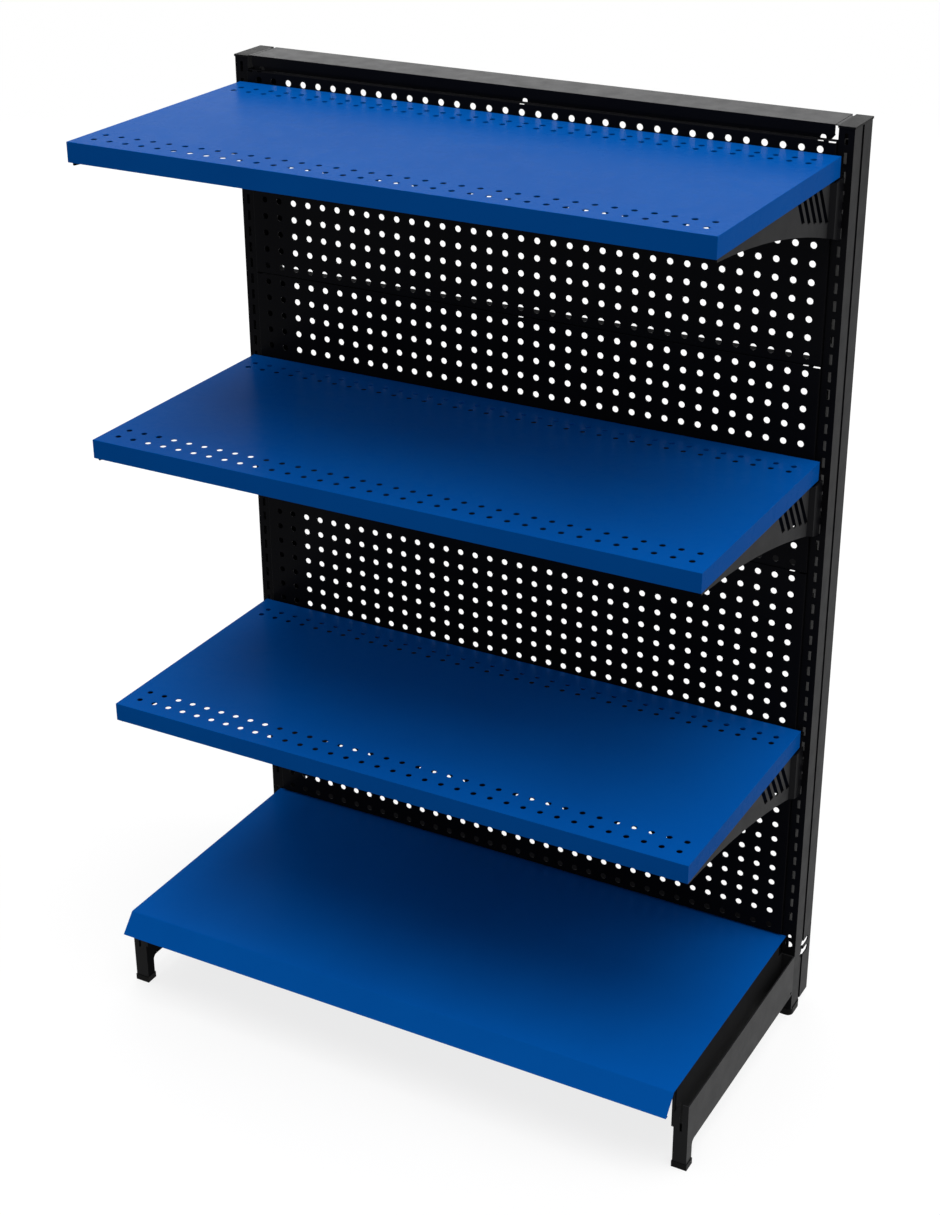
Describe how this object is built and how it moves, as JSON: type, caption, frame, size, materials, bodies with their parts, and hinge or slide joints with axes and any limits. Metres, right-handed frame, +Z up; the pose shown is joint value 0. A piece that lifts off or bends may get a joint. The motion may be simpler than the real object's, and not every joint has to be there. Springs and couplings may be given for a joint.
{
  "type": "steel shelving unit",
  "caption": "Free-standing single-sided shop shelving bay: slotted uprights on base feet, perforated back panels, hooked brackets and lift-off folded steel shelves.",
  "frame": {"origin": "middle of the footprint on the floor", "axes": "+Z up, -Y to the front where the shelves are loaded, +X to the viewer's right"},
  "size_m": [0.962, 0.5184, 1.4],
  "materials": {
    "black_paint": "semi-gloss black powder coat",
    "blue_paint": "semi-gloss blue powder coat",
    "black_plastic": "moulded matt black"
  },
  "bodies": {
    "frame": {"bottom_back_panel": "black_paint", "bottom_rail": "black_paint", "left_base_foot": "black_paint", "left_front_foot_cap": "black_plastic", "left_rail_plate": "black_paint", "left_rear_foot": "black_plastic", "left_upright": "black_paint", "left_upright_cap": "black_plastic", "lower_back_panel": "black_paint", "lower_left_bracket": "black_paint", "lower_right_bracket": "black_paint", "middle_left_bracket": "black_paint", "middle_right_bracket": "black_paint", "right_base_foot": "black_paint", "right_front_foot_cap": "black_plastic", "right_rail_plate": "black_paint", "right_rear_foot": "black_plastic", "right_upright": "black_paint", "right_upright_cap": "black_plastic", "top_back_panel": "black_paint", "top_rail": "black_paint", "upper_back_panel": "black_paint", "upper_left_bracket": "black_paint", "upper_right_bracket": "black_paint"},
    "lower_shelf": {"lower_shelf": "blue_paint"},
    "middle_shelf": {"middle_shelf": "blue_paint"},
    "upper_shelf": {"upper_shelf": "blue_paint"},
    "base_shelf": {"base_shelf": "blue_paint"}
  },
  "joints": [
    {"name": "lower_shelf_lift", "type": "slide", "parent": "frame", "child": "lower_shelf", "axis": [0, 0, 1], "range_m": [0, 0.04]},
    {"name": "middle_shelf_lift", "type": "slide", "parent": "frame", "child": "middle_shelf", "axis": [0, 0, 1], "range_m": [0, 0.04]},
    {"name": "upper_shelf_lift", "type": "slide", "parent": "frame", "child": "upper_shelf", "axis": [0, 0, 1], "range_m": [0, 0.04]},
    {"name": "base_shelf_pull", "type": "slide", "parent": "frame", "child": "base_shelf", "axis": [0, -1, 0], "range_m": [0, 0.04]}
  ]
}
